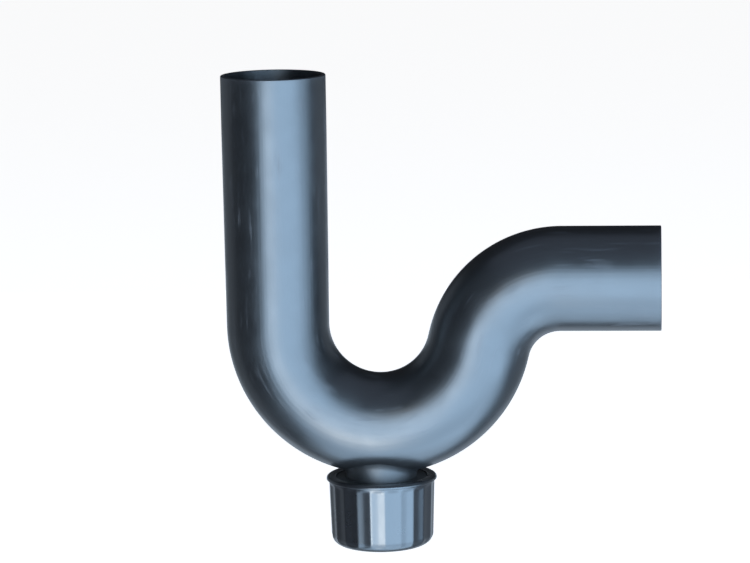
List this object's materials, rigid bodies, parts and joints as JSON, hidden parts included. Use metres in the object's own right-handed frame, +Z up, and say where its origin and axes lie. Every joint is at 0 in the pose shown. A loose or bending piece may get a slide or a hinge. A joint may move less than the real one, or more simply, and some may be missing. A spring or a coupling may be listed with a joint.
{
  "type": "p trap",
  "caption": "Black plastic P trap for drainage: upright inlet leg, U bend holding a water seal, level outlet, and a fluted screw cap on the cleanout under the bend.",
  "frame": {"origin": "centre of the screw cap's flat base, on which the trap stands", "axes": "+Z up along the inlet leg, towards its open end; +X along the outlet, the way the water leaves; the pipe's plane is XZ"},
  "size_m": [0.458, 0.117, 0.5],
  "materials": {
    "pipe": "satin black polyethylene, faintly ground, a little sheen",
    "cap": "moulded black polyethylene, glossier than the pipe",
    "gasket": "matt black EPDM",
    "slip_ring": "natural white polypropylene"
  },
  "bodies": {
    "trap": {"inlet_leg": "pipe", "u_bend": "pipe", "outlet_bend": "pipe", "outlet_spigot": "pipe", "cleanout_neck": "pipe", "threaded_nozzle": "pipe", "riser_weld_bead": "pipe", "neck_weld_bead": "pipe"},
    "seal": {"cap_gasket": "gasket", "slip_ring": "slip_ring"},
    "cap": {"screw_cap": "cap"}
  },
  "joints": [
    {"name": "cap_travel", "type": "slide", "parent": "trap", "child": "seal", "axis": [0, 0, -1], "range_m": [0, 0.027]},
    {"name": "cap_turn", "type": "hinge", "parent": "seal", "child": "cap", "pos_m": [0, 0, 0.037], "axis": [0, 0, -1], "range_deg": [0, 1620]}
  ],
  "couplings": [
    {"joint": "cap_travel", "follows": "cap_turn", "m_per_rad": 0.00095493}
  ]
}
